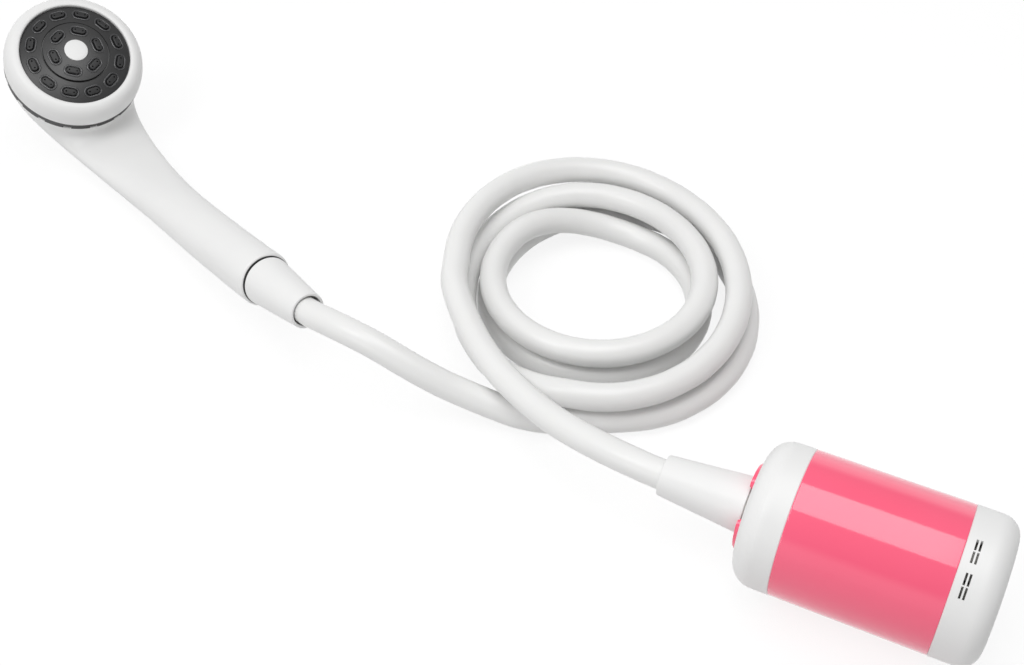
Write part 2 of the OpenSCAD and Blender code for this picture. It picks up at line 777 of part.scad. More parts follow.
module at_pads() {
    for (ring_of = [[pads_outer, pad_ring_outer, -6], [pads_inner, pad_ring_inner, 24]])
        for (i = [0:ring_of[0] - 1]) rotate([0, 0, 360 * i / ring_of[0] + ring_of[2]])
            translate([ring_of[1], 0, face_top(ring_of[1])]) rotate([0, dome_slope(ring_of[1]), 0])
                children();
}

module nozzle_holes() {
    for (s = [-1, 1]) translate([0, s * nozzle_gap / 2, -nozzle_l / 2])
        cylinder(r = nozzle_r, h = nozzle_l, $fn = 16);
}

module spray_face() {
    steps = 6;
    inner_r_face = face_r - ledge_w;
    rim_band = [for (i = [0:steps]) let (r = face_r + (step_r - face_r) * i / steps)
        [r, dome_z(r) - step_h]];
    middle = [for (i = [0:steps]) let (r = step_r * (1 - i / steps)) [r, dome_z(r)]];
    under = [for (i = [0:steps]) let (r = inner_r_face * i / steps) [r, dome_z(r) - step_h - face_t]];
    profile = concat([[face_r, ledge_z]], rim_band, middle, under, [[inner_r_face, ledge_z]]);
    color("black") on_rim() difference() {
        union() {
            rotate_extrude() polygon(profile);
            at_pads() translate([0, 0, -1])
                pill(pad_l + 2 * pad_rim + 0.3, pad_w + 2 * pad_rim + 0.3, 1 + pad_rim_h);
        }
        translate([0, 0, dome_z(0) - cap_recess])
            cylinder(d = face_cap_d + 2 * pocket_clear, h = face_dome);
        at_pads() translate([0, 0, -pad_depth])
            pill(pad_l + 2 * pocket_clear, pad_w + 2 * pocket_clear, face_dome);
        at_pads() nozzle_holes();
    }
}

module nozzle_pads() {
    color("black") on_rim() at_pads() difference() {
        translate([0, 0, -pad_depth]) pill(pad_l, pad_w, pad_depth + pad_proud);
        nozzle_holes();
    }
}

module face_cap() {
    cap_r = face_cap_d / 2;
    crown = cap_t - cap_recess;
    profile = concat([[0, -cap_recess], [cap_r, -cap_recess], [cap_r, 0.2]],
        arc(0, 0.2, cap_r, crown - 0.2, 10, 90, 8));
    color("white") on_rim() translate([0, 0, dome_z(0)]) rotate_extrude() polygon(profile);
}

// Hose: two free runs and the coil between them

// Coil: turns counted clockwise from its left side, spiralling in on top, down a layer and out again below
coil_at = [76.7, 19];
coil_turns = 3.75;
coil_out = [66.1, 75.8];
coil_in = [48.9, 49.5];
coil_shift = 6.3;
layer_low = hose_r + 0.1;
layer_step = 13.8;
start_hump = 8.9;
crossing_dip = 7.5;
rings_per_turn = 24;
coil_sides = 6;

function coil_spread(t) = t < 2.4 ? 1 - smooth((t - 0.74) / 0.94) : smooth((t - 2.79) / 0.87);
function coil_height(t) = layer_low + layer_step * (1 - smooth((t - 2.11) / 0.23))
    + start_hump * (1 - smooth((t - 0.07) / 0.34))
    - crossing_dip * smooth((t - 0.78) / 0.11) * (1 - smooth((t - 0.975) / 0.285));
function coil_point(t) = let (k = coil_spread(t), r = coil_in + (coil_out - coil_in) * k, a = 180 - 360 * t)
    [coil_at[0] + (t > 2.4 ? coil_shift * k : 0) + r[0] * cos(a), coil_at[1] + r[1] * sin(a),
        coil_height(t)];

coil_start_dir = unit(coil_point(0.01) - coil_point(0));
coil_end_dir = unit(coil_point(coil_turns) - coil_point(coil_turns - 0.01));
coil_start = coil_point(0) - coil_start_dir * hose_d;
coil_end = coil_point(coil_turns) + coil_end_dir * hose_d;
coil_steps = coil_turns * rings_per_turn;
coil_path = concat([coil_start], [for (i = [0:coil_steps]) coil_point(i / rings_per_turn)], [coil_end]);

// Least distance between turns of the coil, less the hose's diameter
coil_gap = min([for (i = [0:len(coil_path) - 1]) for (j = [i + 8:1:len(coil_path) - 1])
    norm(coil_path[i] - coil_path[j])]) - hose_d;
echo(coil_gap = coil_gap);

pump_axis = [cos(pump_yaw), sin(pump_yaw), 0];
pump_tail_end = [pump_x, pump_y, pump_r] + pump_axis * (seat_z + tail_end);
head_axis = [-cos(head_yaw) * cos(inlet_rise), -sin(head_yaw) * cos(inlet_rise), sin(inlet_rise)];
head_tail_end = [head_x, head_y, head_lift] + head_axis * tail_end;

// Free run from the pump up to the coil
pump_run_points = [[83.7, -100, 30], [72.7, -92, 29], [62.7, -83.5, 27.6], [53.7, -75, 26.6],
    [45.7, -66, 25.8], [38.7, -57, 25.4], [32.2, -48, 25.4], [26.2, -38, 25.6], [20.7, -27, 26.2],
    [16.1, -15.5, 27.2], [12.5, -4.2, 28.4]];

// Free run from the coil to the hand shower
head_run_points = [[59.7, -57.8, 6.5], [49.4, -57.6, 7.2], [39.3, -56.2, 8.7], [31.4, -54, 10.3],
    [23.9, -51.8, 12.3], [17, -50.1, 14.7], [9.8, -48.5, 17.6], [3.5, -47.1, 20.6],
    [-2.9, -45.3, 23.7], [-10.4, -42.7, 27.2], [-17.8, -39.6, 30.4], [-25.3, -36.1, 32.9],
    [-33.1, -32, 34.3], [-42.9, -25.6, 34.3]];

module hose_pump_run() {
    path = concat([pump_tail_end], pump_run_points, [coil_start]);
    color("white") skin(tube_rings(path, hose_r, 10, pump_axis, coil_start_dir));
}

module hose_coil() {
    color("white") skin(tube_rings(coil_path, hose_r, coil_sides, coil_start_dir, coil_end_dir));
}

module hose_head_run() {
    path = concat([coil_end], head_run_points, [head_tail_end]);
    color("white") skin(tube_rings(path, hose_r, 10, coil_end_dir, -head_axis));
}

intake_cap();
base_gasket();
filter_screen();
volute();
impeller();
motor_shaft();
shaft_seal();
chassis();
chassis_seal();
motor();
battery_cell();
riser_tube();
pump_sleeve();
top_gasket();
circuit_board();
power_switch();
charge_port();
board_screws();
outlet_spigot();
top_cap();
power_button();
charge_plug();
pump_washer();
pump_barb();
pump_nut();
hose_pump_tail();
hose_pump_run();
hose_coil();
hose_head_run();
hose_head_tail();
head_barb();
head_washer();
head_nut();
handle_seal();
handle();
rim_seal();
face_bezel();
spray_face();
nozzle_pads();
face_cap();
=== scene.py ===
import json
import math

import bmesh
import bpy
from mathutils import Matrix, Vector


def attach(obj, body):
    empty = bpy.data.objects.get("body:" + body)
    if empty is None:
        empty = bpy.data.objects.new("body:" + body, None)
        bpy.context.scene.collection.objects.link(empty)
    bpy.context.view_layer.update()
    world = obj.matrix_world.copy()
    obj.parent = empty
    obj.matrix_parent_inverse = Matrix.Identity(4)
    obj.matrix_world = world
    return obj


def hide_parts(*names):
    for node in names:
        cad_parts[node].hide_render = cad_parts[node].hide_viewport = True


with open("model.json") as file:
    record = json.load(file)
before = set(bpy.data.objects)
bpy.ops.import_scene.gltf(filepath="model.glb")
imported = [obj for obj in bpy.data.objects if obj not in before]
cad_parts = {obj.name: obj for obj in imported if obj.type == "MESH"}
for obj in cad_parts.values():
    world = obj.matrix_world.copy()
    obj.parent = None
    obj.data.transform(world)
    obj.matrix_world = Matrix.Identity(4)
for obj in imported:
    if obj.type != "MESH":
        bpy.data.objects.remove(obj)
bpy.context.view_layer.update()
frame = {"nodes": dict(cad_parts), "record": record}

# Camera: the set lies on a table and is looked down on at 45 degrees through a normal lens,
# chosen for the photograph's frame of 1024 by 665. The frame's size itself is not set here.
camera = bpy.data.objects.new("camera", bpy.data.cameras.new("camera"))
camera.data.lens = 50
camera.data.sensor_width = 36
camera.location = (0.0367, -0.4719, 0.4749)
camera.rotation_euler = (math.radians(45), 0, 0)
bpy.context.scene.collection.objects.link(camera)
bpy.context.scene.camera = camera
bpy.context.scene.view_settings.view_transform = "Standard"


# Hose: a soft white vinyl tube, 12.6 mm across, extruded through a die. It is pushed over a barb inside each
# conical nut and lies in a coil of nearly four turns, spiralling in on top and out again underneath,
# as it was put down.
MM = 0.001


def linear(hex_colour):
    """An sRGB hex colour as linear red, green, blue and alpha."""
    parts = [int(hex_colour[i:i + 2], 16) / 255 for i in (1, 3, 5)]
    return [p / 12.92 if p <= 0.04045 else ((p + 0.055) / 1.055) ** 2.4 for p in parts] + [1.0]


def add(tree, kind, links=(), **settings):
    """Adds one shader node: settings are its properties or its input values, links its incoming wires."""
    made = tree.nodes.new("ShaderNode" + kind)
    for name, value in settings.items():
        if hasattr(made, name):
            setattr(made, name, value)
        else:
            made.inputs[name.replace("_", " ")].default_value = value
    for socket, source in dict(links).items():
        tree.links.new(source, made.inputs[socket])
    return made


def surface(name, dark, light, sheen, drift_mm, grain_mm, relief, **constants):
    """A material with a slow drift of tint, drift_mm across, and a grain, grain_mm wide, in sheen and skin.

    Texture coordinates are in metres, so a feature of so many millimetres has the scale 1000 / millimetres.
    The real grain of moulded and extruded plastic is about 0.05 mm wide. It can't show at this distance,
    so it is drawn more than ten times coarser, and shallow.
    """
    material = bpy.data.materials.new(name)
    material.use_nodes = True
    tree = material.node_tree
    shader = tree.nodes["Principled BSDF"]
    place = add(tree, "TexCoord").outputs["Object"]
    slow = add(tree, "TexNoise", {"Vector": place}, Scale=1000 / drift_mm, Detail=3.0)
    fine = add(tree, "TexNoise", {"Vector": place}, Scale=1000 / grain_mm, Detail=2.0)
    tint = add(tree, "ValToRGB", {"Fac": slow.outputs["Fac"]})
    tint.color_ramp.elements[0].color, tint.color_ramp.elements[1].color = linear(dark), linear(light)
    gloss = add(tree, "MapRange", {"Value": fine.outputs["Fac"]}, To_Min=sheen[0], To_Max=sheen[1])
    skin = add(tree, "Bump", {"Height": fine.outputs["Fac"]}, Strength=relief, Distance=0.3 * MM)
    for socket, source in (("Base Color", tint.outputs["Color"]), ("Roughness", gloss.outputs["Result"]),
                           ("Normal", skin.outputs["Normal"])):
        tree.links.new(source, shader.inputs[socket])
    for socket, value in constants.items():
        shader.inputs[socket.replace("_", " ")].default_value = value
    return material


# Vinyl cooled straight from the die has a satin skin: long soft highlights on a slightly milky white.
hose_vinyl = surface("extruded_vinyl", "#E8E8E7", "#F0F0EF", (0.3, 0.4), 40, 0.8, 0.06, IOR=1.53,
                     Subsurface_Weight=0.08, Subsurface_Radius=(0.004, 0.004, 0.0035))

# Pieces are sized in millimetres, and MM takes them to metres. A hose end starts on its barb, and its
# straight part ends just outside the nut, at these two distances from the nut's seat.
hose_diameter = 12.6
tail_from, tail_to = 13.2, 38.9
pump_turn = 154.2
pump_yaw = math.radians(pump_turn)
pump_base = Vector((218.7, -166.5, 30.0))
pump_axis = Vector((math.cos(pump_yaw), math.sin(pump_yaw), 0))
seat_height = 97.6
swivel = next(j for j in frame["record"]["behaviour"]["joints"] if j["name"] == "head_swivel")
head_inlet = Vector(swivel["pos_m"]) / MM
head_axis = Vector(swivel["axis"]).normalized()


def eased(t, start, over):
    """A smooth rise from 0 at start to 1 at start + over."""
    c = min(1.0, max(0.0, (t - start) / over))
    return c * c * (3 - 2 * c)


# The coil's ovals, its two layers, and the changes between them. Each pair says after how many turns a
# change starts and how many turns it takes.
coil_middle, coil_shift = Vector((76.7, 19.0)), 6.3
coil_outer, coil_inner = Vector((66.1, 75.8)), Vector((48.9, 49.5))
layer_low, layer_step, start_hump, crossing_dip = 6.4, 13.8, 8.9, 7.5
inward, innermost, outward = (0.74, 0.94), 2.4, (2.79, 0.87)
hump_ends, layer_drops, dip_starts, dip_ends = (0.07, 0.34), (2.11, 0.23), (0.78, 0.11), (0.975, 0.285)


def coil_point(t):
    """The coil's centreline after t turns, clockwise from its left side."""
    spread = 1 - eased(t, *inward) if t < innermost else eased(t, *outward)
    radii = coil_inner.lerp(coil_outer, spread)
    height = layer_low + layer_step * (1 - eased(t, *layer_drops))
    height += start_hump * (1 - eased(t, *hump_ends))
    height -= crossing_dip * eased(t, *dip_starts) * (1 - eased(t, *dip_ends))
    angle = math.pi - 2 * math.pi * t
    shift = coil_shift * spread if t > innermost else 0.0
    return Vector((coil_middle.x + shift + radii.x * math.cos(angle),
                   coil_middle.y + radii.y * math.sin(angle), height))


coil_turns, steps_per_turn, short_arc = 3.75, 24, 0.01
coil = [coil_point(i / steps_per_turn) for i in range(int(coil_turns * steps_per_turn) + 1)]
coil_in = (coil_point(short_arc) - coil_point(0)).normalized()
coil_out = (coil_point(coil_turns) - coil_point(coil_turns - short_arc)).normalized()
pump_run = [(83.7, -100, 30), (72.7, -92, 29), (62.7, -83.5, 27.6), (53.7, -75, 26.6),
            (45.7, -66, 25.8), (38.7, -57, 25.4), (32.2, -48, 25.4), (26.2, -38, 25.6), (20.7, -27, 26.2),
            (16.1, -15.5, 27.2), (12.5, -4.2, 28.4)]
head_run = [(59.7, -57.8, 6.5), (49.4, -57.6, 7.2), (39.3, -56.2, 8.7), (31.4, -54, 10.3),
            (23.9, -51.8, 12.3), (17, -50.1, 14.7), (9.8, -48.5, 17.6), (3.5, -47.1, 20.6),
            (-2.9, -45.3, 23.7), (-10.4, -42.7, 27.2), (-17.8, -39.6, 30.4), (-25.3, -36.1, 32.9),
            (-33.1, -32, 34.3), (-42.9, -25.6, 34.3)]
tail = (tail_from, (tail_from + tail_to) / 2, tail_to)
route = [pump_base + pump_axis * (seat_height + d) for d in tail]
route += [Vector(p) for p in pump_run] + [coil[0] - coil_in * hose_diameter] + coil
route += [coil[-1] + coil_out * hose_diameter] + [Vector(p) for p in head_run]
route += [head_inlet + head_axis * d for d in reversed(tail)]

line = bpy.data.curves.new("hose", "CURVE")
line.dimensions = "3D"
line.resolution_u = 6
line.bevel_depth = hose_diameter / 2 * MM
line.bevel_resolution = 8
line.use_fill_caps = True
spline = line.splines.new("BEZIER")
spline.bezier_points.add(len(route) - 1)
for knot, p in zip(spline.bezier_points, route):
    knot.co = p * MM
    knot.handle_left_type = knot.handle_right_type = "AUTO"
hose = bpy.data.objects.new("hose", line)
bpy.context.scene.collection.objects.link(hose)
hose.data.materials.append(hose_vinyl)
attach(hose, "pump")
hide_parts("hose_pump_tail", "hose_pump_run", "hose_coil", "hose_head_run", "hose_head_tail")


# Pump caps: the white base with its intake slots and the white outlet end, injection-moulded in ABS.
# Both are pushed on to the sleeve against gaskets.
def dress(material, *names):
    """Gives CAD nodes this material."""
    for name in names:
        data = frame["nodes"][name].data
        data.materials.clear()
        data.materials.append(material)


# A spark-eroded mould leaves a fine satin texture on the ABS, which spreads the highlights.
white_abs = surface("moulded_abs_white", "#EAEAEA", "#EFEFEE", (0.36, 0.5), 33, 0.6, 0.05, IOR=1.52)
dress(white_abs, "intake_cap", "top_cap")


# Conical nuts: one at each end of the hose, moulded in the same ABS and screwed on to the spigots, where
# they turn. The rounded lip leaves a gap round the hose, and the wide end sits against the pump's collar
# or the handle's seal.
def rounded(corners, steps=6):
    """A closed outline whose corners (r, z, radius) are rounded."""
    out = []
    for i, (r, z, radius) in enumerate(corners):
        here = Vector((r, z))
        before = Vector(corners[i - 1][:2]) - here
        after = Vector(corners[(i + 1) % len(corners)][:2]) - here
        turn = before.angle(after) if radius else math.pi
        if math.pi - turn < 0.02:
            out.append(here)
            continue
        reach = min(radius / math.tan(turn / 2), 0.49 * before.length, 0.49 * after.length)
        a, b = here + before.normalized() * reach, here + after.normalized() * reach
        for k in range(steps + 1):
            f = k / steps
            out.append(a * (1 - f) ** 2 + here * 2 * f * (1 - f) + b * f * f)
    return out


def lathe(outline, steps=128):
    """Points and faces of a closed outline (r, z) turned round its axis."""
    points, faces, n = [], [], len(outline)
    for k in range(steps):
        a = 2 * math.pi * k / steps
        points += [(r * math.cos(a), r * math.sin(a), z) for r, z in outline]
    for k in range(steps):
        for i in range(n):
            j, m = (i + 1) % n, (k + 1) % steps
            faces.append((k * n + i, m * n + i, m * n + j, k * n + j))
    return points, faces


def piece(name, points, faces, where, material, body, sharp=40):
    """A mesh piece from points in millimetres in its own frame, put in place and riding on a body."""
    mesh = bpy.data.meshes.new(name)
    mesh.from_pydata([where @ (Vector(p) * MM) for p in points], [], faces)
    work = bmesh.new()
    work.from_mesh(mesh)
    bmesh.ops.remove_doubles(work, verts=work.verts, dist=1e-6)
    bmesh.ops.dissolve_degenerate(work, edges=work.edges, dist=1e-7)
    bmesh.ops.recalc_face_normals(work, faces=work.faces)
    work.to_mesh(mesh)
    work.free()
    mesh.shade_smooth()
    mesh.set_sharp_from_angle(angle=math.radians(sharp))
    mesh.materials.append(material)
    obj = bpy.data.objects.new(name, mesh)
    bpy.context.scene.collection.objects.link(obj)
    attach(obj, body)
    return obj


def turned(axis, degrees):
    """A turn about one of the frame's own axes."""
    return Matrix.Rotation(math.radians(degrees), 4, axis)


pump_roll, head_turn, inlet_rise = 53, 129.24, 11.0
pump_frame = (Matrix.Translation(pump_base * MM) @ turned("Z", pump_turn) @ turned("Y", 90)
              @ turned("Z", 180 + pump_roll))
outlet_frame = pump_frame @ Matrix.Translation((0, 0, seat_height * MM))
head_frame = Matrix.Translation(head_inlet * MM) @ turned("Z", head_turn)
inlet_frame = head_frame @ turned("Y", inlet_rise - 90)
nut_wide, nut_tip, nut_low, nut_high = 11.9, 8.5, 1.0, 36.9
thread_r, neck_r, hose_way_r, shoulder_low, shoulder_high = 10.2, 6.8, 7.3, 13.5, 16.1
nut_outline = rounded([
    (thread_r, nut_low, 0.3), (nut_wide, nut_low, 0.6), (nut_tip, nut_high, 1.1), (hose_way_r, nut_high, 0.4),
    (hose_way_r, shoulder_high, 0), (neck_r, shoulder_high, 0), (neck_r, shoulder_low, 0),
    (thread_r, shoulder_low, 0)])
for name, where in (("pump_nut", outlet_frame), ("head_nut", inlet_frame)):
    nut = piece(name + "_cone", *lathe(nut_outline), where, white_abs, name)
    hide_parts(name)

# Pink sleeve, button and charging plug: the sleeve is a moulded ABS tube held between the caps by its two
# tongues. Button and plug are moulded in the same pink and sit in the outlet cap.
# A polished mould makes the ABS mirror the lamps, with the faint waviness that a moulded tube keeps.
pink_abs = surface("polished_abs_pink", "#FF5A7D", "#FF6486", (0.1, 0.14), 55, 55, 0.06, IOR=1.47,
                   Coat_Weight=0.6, Coat_Roughness=0.06)
dress(pink_abs, "power_button", "charge_plug")
sleeve_low, sleeve_high, sleeve_r, bore_r, tongue_r, tongue_l = 18.0, 80.0, 30.0, 27.6, 28.65, 1.6
edge_r, tongue_edge_r = 0.35, 0.3
sleeve = piece("sleeve", *lathe(rounded([
    (bore_r, sleeve_low - tongue_l, 0), (tongue_r, sleeve_low - tongue_l, tongue_edge_r),
    (tongue_r, sleeve_low, 0), (sleeve_r, sleeve_low, edge_r), (sleeve_r, sleeve_high, edge_r),
    (tongue_r, sleeve_high, 0), (tongue_r, sleeve_high + tongue_l, tongue_edge_r),
    (bore_r, sleeve_high + tongue_l, 0)]), 192), pump_frame, pink_abs, "pump")
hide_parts("pump_sleeve")


# Handle and bowl: one hollow moulding in white ABS, a round grip that sweeps down and widens into the bowl
# under the spray face. A thin rubber ring parts its end from the nut.
def bezier(p, t):
    """The point at t on a cubic curve with four control points."""
    return (p[0] * (1 - t) ** 3 + p[1] * 3 * t * (1 - t) ** 2 + p[2] * 3 * t * t * (1 - t) + p[3] * t ** 3)


def toward(degrees, length=1.0):
    """A step of some length in the handle's upright plane."""
    return Vector((math.cos(math.radians(degrees)), math.sin(math.radians(degrees)))) * length


grip_r, bowl_r, reach, rise, face_tilt = 13.2, 34.4, 184.6, 18.8, 34.0
belly_depth, belly_from, neck_depth, neck_from = 95.0, 0.51, 18.0, 0.62
swell_from, swell_power, swell_ease = 0.28, 1.3, 0.05
rim_middle = Vector((reach, rise))
far_rim, near_rim = rim_middle + toward(face_tilt, bowl_r), rim_middle - toward(face_tilt, bowl_r)
low_end, high_end = toward(-90 - inlet_rise, grip_r), toward(90 - inlet_rise, grip_r)
underside = (low_end, low_end + toward(-inlet_rise, reach * belly_from),
             far_rim + toward(face_tilt - 90, belly_depth), far_rim)
topside = (high_end, high_end + toward(-inlet_rise, reach * neck_from),
           near_rim + toward(face_tilt - 90, neck_depth), near_rim)


def handle_ring(t, shrink=0.0, sides=120):
    """The outline across the handle at t from its end, 0, to the bowl's rim, 1, drawn in by shrink."""
    low, high = bezier(underside, t), bezier(topside, t)
    middle, up = (low + high) / 2, (high - low) / 2
    swell = (t - swell_from) / (1 - swell_from)
    wide = grip_r + (bowl_r - grip_r) * (swell / 2 + math.hypot(swell, swell_ease) / 2) ** swell_power
    up, wide = up * (1 - shrink / up.length), wide - shrink
    return [(middle.x + up.x * math.cos(a), wide * math.sin(a), middle.y + up.y * math.cos(a))
            for a in (2 * math.pi * k / sides for k in range(sides))]


def loft(rings):
    """Points and faces of a closed skin over rings of equal count."""
    n = len(rings[0])
    faces = [(i * n + k, i * n + (k + 1) % n, (i + 1) * n + (k + 1) % n, (i + 1) * n + k)
             for i in range(len(rings) - 1) for k in range(n)]
    faces += [tuple(range(n - 1, -1, -1)), tuple((len(rings) - 1) * n + k for k in range(n))]
    return [p for ring in rings for p in ring], faces


end_round, per_mm, grip_starts, rim_starts, sections = 1.6, 1 / 312, 0.012, 0.99, 90
rim_edge = ((0.994, 0.05), (0.997, 0.15), (0.999, 0.3), (1.0, 0.55))
end_inset, rim_inset = grip_r * 0.3, bowl_r * 0.4
rings = [handle_ring(0, end_inset)]
rings += [handle_ring(end_round * (1 - math.cos(a)) * per_mm, end_round * (1 - math.sin(a)))
          for a in (math.radians(15 * k) for k in range(7))]
rings += [handle_ring(grip_starts + (rim_starts - grip_starts) * k / sections) for k in range(sections + 1)]
rings += [handle_ring(t, shrink) for t, shrink in rim_edge]
rings += [handle_ring(1.0, rim_inset)]
handle = piece("grip_and_bowl", *loft(rings), head_frame, white_abs, "shower_head")
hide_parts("handle")

# Bezel: a fat rounded ring of the same white ABS. Its skirt goes down through the black seal into the bowl,
# and its ledge carries the spray face.
rim_frame = head_frame @ Matrix.Translation(Vector((reach, 0, rise)) * MM) @ turned("Y", -face_tilt)
bezel_r, bezel_low, bezel_high, lip_r = 34.8, 5.0, 17.5, 27.5
skirt_r, skirt_t, skirt_low = 30.0, 2, -1.5
crown_r, shoulder, fullness = lip_r + 1.2, bezel_low + 0.9, 2 / 2.3
ledge, ledge_t, ledge_w = bezel_high - 4.0, 2.0, 2.8
bulge = [Vector((crown_r + (bezel_r - crown_r) * math.cos(a) ** fullness,
                 shoulder + (bezel_high - shoulder) * math.sin(a) ** fullness))
         for a in (math.radians(3 * k) for k in range(30))]
skirt = [(skirt_r - skirt_t, skirt_low), (skirt_r, skirt_low), (skirt_r, bezel_low)]
foot = rounded([(bezel_r - 1.2, bezel_low, 0), (bezel_r - 0.1, bezel_low, 0.7), (bezel_r, shoulder, 0)])[:-1]
lip_edge = [(lip_r + 0.5, bezel_high - 0.06), (lip_r + 0.15, bezel_high - 0.3), (lip_r, bezel_high - 0.7)]
inside = [(lip_r, ledge), (lip_r - ledge_w, ledge), (lip_r - ledge_w, ledge - ledge_t),
          (skirt_r - skirt_t, ledge - ledge_t)]
bezel_outline = [Vector(p) for p in skirt] + foot + bulge
bezel_outline += [Vector(p) for p in [(crown_r, bezel_high)] + lip_edge + inside]
bezel = piece("bezel_ring", *lathe(bezel_outline, 160), rim_frame, white_abs, "shower_head")
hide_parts("face_bezel")

# Spray face: a black ABS dome with a raised middle, moulded in one piece with a rounded lip round each of
# its eighteen pockets. It is set down on the bezel's ledge.
# Fine mould texture makes the black a soft dark grey that brightens towards the light.
black_abs = surface("moulded_abs_black", "#171718", "#1D1D1E", (0.33, 0.41), 0.7, 0.7, 0.05, IOR=1.52,
                    Specular_IOR_Level=0.7)
face_r, dome_rise, edge_h, face_t, cap_r, cap_sink = 27.2, 4.4, 3.3, 2.6, 5.95, 0.9
step_r, step_h, groove_w, groove_depth = 16.3, 0.7, 0.6, 0.7
dome_radius = (face_r ** 2 + dome_rise ** 2) / (2 * dome_rise)


def face_height(r):
    """Height of the spray face at a radius: a dome whose middle stands a step above its rim."""
    dome = ledge + edge_h + math.sqrt(dome_radius ** 2 - r * r) - (dome_radius - dome_rise)
    return dome - (step_h if r > step_r else 0)


def pill(length, width, level, steps=12):
    """A ring of points round a slot with round ends, its length along Y."""
    r, half = width / 2, (length - width) / 2
    arc = [math.pi * k / steps for k in range(steps + 1)]
    return ([(r * math.cos(a), half + r * math.sin(a), level) for a in arc]
            + [(-r * math.cos(a), -half - r * math.sin(a), level) for a in arc])


def gathered(places, points, faces):
    """One set of points and faces copied to many places."""
    all_points = [tuple(at @ Vector(p)) for at in places for p in points]
    all_faces = [tuple(i + k * len(points) for i in f) for k in range(len(places)) for f in faces]
    return all_points, all_faces


def carved(obj, *cuts):
    """Adds or takes away closed meshes, given as (operation, points, faces, frame, material)."""
    for operation, points, faces, where, material in cuts:
        mesh = bpy.data.meshes.new("tool")
        mesh.from_pydata([where @ (Vector(p) * MM) for p in points], [], faces)
        mesh.materials.append(material)
        work = bmesh.new()
        work.from_mesh(mesh)
        bmesh.ops.recalc_face_normals(work, faces=work.faces)
        work.to_mesh(mesh)
        work.free()
        tool = bpy.data.objects.new("tool", mesh)
        bpy.context.scene.collection.objects.link(tool)
        change = obj.modifiers.new(operation, "BOOLEAN")
        change.operation, change.object, change.solver = operation, tool, "EXACT"
        change.material_mode = "TRANSFER"
        shaped = bpy.data.meshes.new_from_object(obj.evaluated_get(bpy.context.evaluated_depsgraph_get()))
        obj.modifiers.clear()
        obj.data, old = shaped, obj.data
        bpy.data.meshes.remove(old)
        bpy.data.objects.remove(tool)
        bpy.data.meshes.remove(mesh)
    obj.data.shade_smooth()
    obj.data.set_sharp_from_angle(angle=math.radians(32))


pad_l, pad_w = 6.6, 3.2
outer_pads, inner_pads = (12, 0.815 * face_r, -6), (6, 0.42 * face_r, 24)
pad_places = [turned("Z", 360 * k / count + first) @ Matrix.Translation((radius, 0, face_height(radius)))
              @ turned("Y", math.degrees(math.asin(radius / dome_radius)))
              for count, radius, first in (outer_pads, inner_pads) for k in range(count)]
groove_r, corner, step_corner, wall_lean = step_r + groove_w, 0.08, 0.12, 0.05
edge_in, edge_down, under_radii, ledge_gap = 0.05, 0.2, (10, 16), 0.3
rim_from, rim_to, rim_steps = face_r - edge_in, groove_r + corner, 14
middle_from, middle_steps = step_r - step_corner, 12
rim_band = [rim_from - (rim_from - rim_to) * k / rim_steps for k in range(rim_steps + 1)]
middle_disc = [middle_from - (middle_from - cap_r) * k / middle_steps for k in range(middle_steps + 1)]
groove_floor = face_height(groove_r) - groove_depth
sunk = face_height(0) - cap_sink
face_outline = [(face_r, ledge), (face_r, face_height(face_r) - edge_down)]
face_outline += [(r, face_height(r)) for r in rim_band]
face_outline += [(groove_r, face_height(groove_r) - corner), (groove_r - wall_lean, groove_floor)]
face_outline += [(step_r, groove_floor), (step_r, face_height(step_r) - step_corner)]
face_outline += [(r, face_height(r)) for r in middle_disc]
face_outline += [(cap_r, sunk), (0, sunk), (0, sunk - face_t)]
face_outline += [(r, face_height(r) - step_h - face_t) for r in under_radii]
inside_r = lip_r - ledge_w - ledge_gap
face_outline += [(inside_r, face_height(inside_r) - face_t), (inside_r, ledge)]
spray_dome = piece("spray_dome", *lathe(face_outline, 160), rim_frame, black_abs, "shower_head")
# The lips come from a polished part of the mould, so each is a shinier line round its pocket. Their paler
# colour is a painted highlight that stands in for the light their rounded crests catch.
lip_abs_painted_highlight = surface("polished_abs_black_painted_pale", "#343436", "#3B3B3D", (0.2, 0.26), 0.7, 0.7, 0.02, IOR=1.52,
                  Specular_IOR_Level=0.7)
lip_over, pocket_over, pocket_low, pocket_high = 3.0, 0.8, -1.2, 1.1
lip_shape = ((0, -0.7), (0, -0.05), (0.12, 0.14), (0.32, 0.28), (0.65, 0.38), (1.15, 0.42), (1.65, 0.38),
             (1.95, 0.28), (2.1, 0.15))
lip = loft([pill(pad_l + lip_over - inset, pad_w + lip_over - inset, z) for inset, z in lip_shape])
pocket = loft([pill(pad_l + pocket_over, pad_w + pocket_over, z) for z in (pocket_low, pocket_high)])
carved(spray_dome, ("UNION", *gathered(pad_places, *lip), rim_frame, lip_abs_painted_highlight),
       ("DIFFERENCE", *gathered(pad_places, *pocket), rim_frame, black_abs))
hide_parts("spray_face")

# Nozzle pads and seals: the pads are soft rubber buttons with two jets each, set in the face's shallow
# pockets. The rings, washers and gaskets are moulded in the same black rubber.
# Rubber takes the mould's dull finish, so it is a flatter, slightly greyer black than the ABS round it.
rubber = surface("moulded_rubber", "#1C1C1D", "#252526", (0.42, 0.52), 1.1, 1.1, 0.08, IOR=1.5)
dress(rubber, "rim_seal", "handle_seal", "pump_washer", "head_washer", "base_gasket",
      "top_gasket", "shaft_seal", "chassis_seal")
pad_shape = ((0, -1.15), (0.05, 0.6), (0.15, 0.85), (0.4, 1.0), (0.8, 1.07), (1.4, 1.1))
pad = loft([pill(pad_l - inset, pad_w - inset, z) for inset, z in pad_shape])
pads = piece("soft_nozzle_pads", *gathered(pad_places, *pad), rim_frame, rubber, "shower_head")
nozzle_gap, nozzle_r, nozzle_low, nozzle_high = 3.8, 0.42, 0, 1.6
